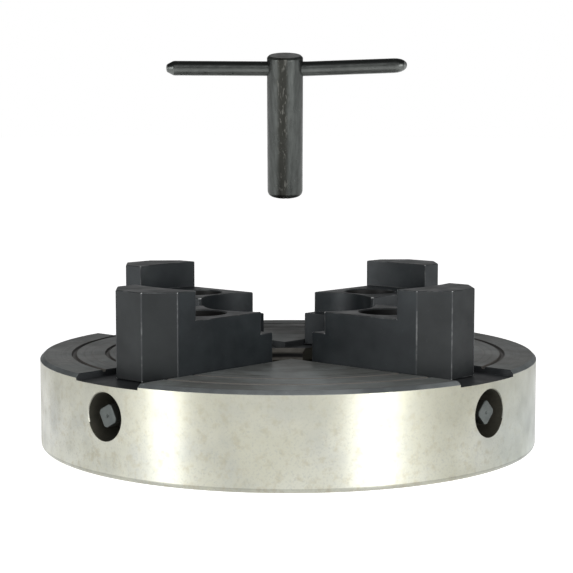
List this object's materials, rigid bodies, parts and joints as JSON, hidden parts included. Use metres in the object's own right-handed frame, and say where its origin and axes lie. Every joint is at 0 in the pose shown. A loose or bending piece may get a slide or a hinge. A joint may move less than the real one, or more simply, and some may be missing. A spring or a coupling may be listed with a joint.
{
  "type": "lathe chuck",
  "caption": "Round independent lathe chuck whose stepped reversible jaws are each moved by their own square-ended screw, with a T-handle key held above it.",
  "frame": {"origin": "chuck axis at the back face, which is the lowest plane", "axes": "+Z out of the chuck's face, one jaw along each of +X, +Y, -X and -Y"},
  "size_m": [0.16, 0.16, 0.1253],
  "materials": {
    "chuck_iron": "turned bright rim, darkened face",
    "jaw_steel_1": "blackened, worn on its edges",
    "jaw_steel_2": "blackened, worn on its edges",
    "jaw_steel_3": "blackened, worn on its edges",
    "jaw_steel_4": "blackened, worn on its edges",
    "screw_steel_1": "dull steel",
    "screw_steel_2": "dull steel",
    "screw_steel_3": "dull steel",
    "screw_steel_4": "dull steel",
    "block_steel_1": "dull steel",
    "block_steel_2": "dull steel",
    "block_steel_3": "dull steel",
    "block_steel_4": "dull steel",
    "pin_steel_1": "ground",
    "pin_steel_2": "ground",
    "pin_steel_3": "ground",
    "pin_steel_4": "ground",
    "key_barrel_steel": "blackened",
    "key_bar_steel": "blackened, worn tips"
  },
  "bodies": {
    "chuck": {"chuck_body": "chuck_iron", "thrust_block_1": "block_steel_1", "thrust_block_2": "block_steel_2", "thrust_block_3": "block_steel_3", "thrust_block_4": "block_steel_4", "block_pin_1": "pin_steel_1", "block_pin_2": "pin_steel_2", "block_pin_3": "pin_steel_3", "block_pin_4": "pin_steel_4"},
    "jaw_body_1": {"jaw_1": "jaw_steel_1"},
    "screw_body_1": {"jaw_screw_1": "screw_steel_1"},
    "jaw_body_2": {"jaw_2": "jaw_steel_2"},
    "screw_body_2": {"jaw_screw_2": "screw_steel_2"},
    "jaw_body_3": {"jaw_3": "jaw_steel_3"},
    "screw_body_3": {"jaw_screw_3": "screw_steel_3"},
    "jaw_body_4": {"jaw_4": "jaw_steel_4"},
    "screw_body_4": {"jaw_screw_4": "screw_steel_4"},
    "key": {"key_barrel": "key_barrel_steel", "key_bar": "key_bar_steel"}
  },
  "joints": [
    {"name": "jaw_slide_1", "type": "slide", "parent": "chuck", "child": "jaw_body_1", "axis": [1, 0, 0], "range_m": [-0.008, 0.007]},
    {"name": "jaw_slide_2", "type": "slide", "parent": "chuck", "child": "jaw_body_2", "axis": [0, 1, 0], "range_m": [-0.008, 0.007]},
    {"name": "jaw_slide_3", "type": "slide", "parent": "chuck", "child": "jaw_body_3", "axis": [-1, 0, 0], "range_m": [-0.008, 0.007]},
    {"name": "jaw_slide_4", "type": "slide", "parent": "chuck", "child": "jaw_body_4", "axis": [0, -1, 0], "range_m": [-0.008, 0.007]},
    {"name": "screw_spin_1", "type": "hinge", "parent": "chuck", "child": "screw_body_1", "pos_m": [0.0205, 0, 0.0182], "axis": [1, 0, 0], "range_deg": [-725, 635]},
    {"name": "screw_spin_2", "type": "hinge", "parent": "chuck", "child": "screw_body_2", "pos_m": [0, 0.0205, 0.0182], "axis": [0, 1, 0], "range_deg": [-725, 635]},
    {"name": "screw_spin_3", "type": "hinge", "parent": "chuck", "child": "screw_body_3", "pos_m": [-0.0205, 0, 0.0182], "axis": [-1, 0, 0], "range_deg": [-725, 635]},
    {"name": "screw_spin_4", "type": "hinge", "parent": "chuck", "child": "screw_body_4", "pos_m": [0, -0.0205, 0.0182], "axis": [0, -1, 0], "range_deg": [-725, 635]},
    {"name": "key_lift", "type": "slide", "parent": "chuck", "child": "key", "axis": [0, 0, 1], "range_m": [0, 0.06]}
  ],
  "couplings": [
    {"joint": "screw_spin_1", "follows": "jaw_slide_1", "rad_per_m": 1570.8},
    {"joint": "screw_spin_2", "follows": "jaw_slide_2", "rad_per_m": 1570.8},
    {"joint": "screw_spin_3", "follows": "jaw_slide_3", "rad_per_m": 1570.8},
    {"joint": "screw_spin_4", "follows": "jaw_slide_4", "rad_per_m": 1570.8}
  ]
}
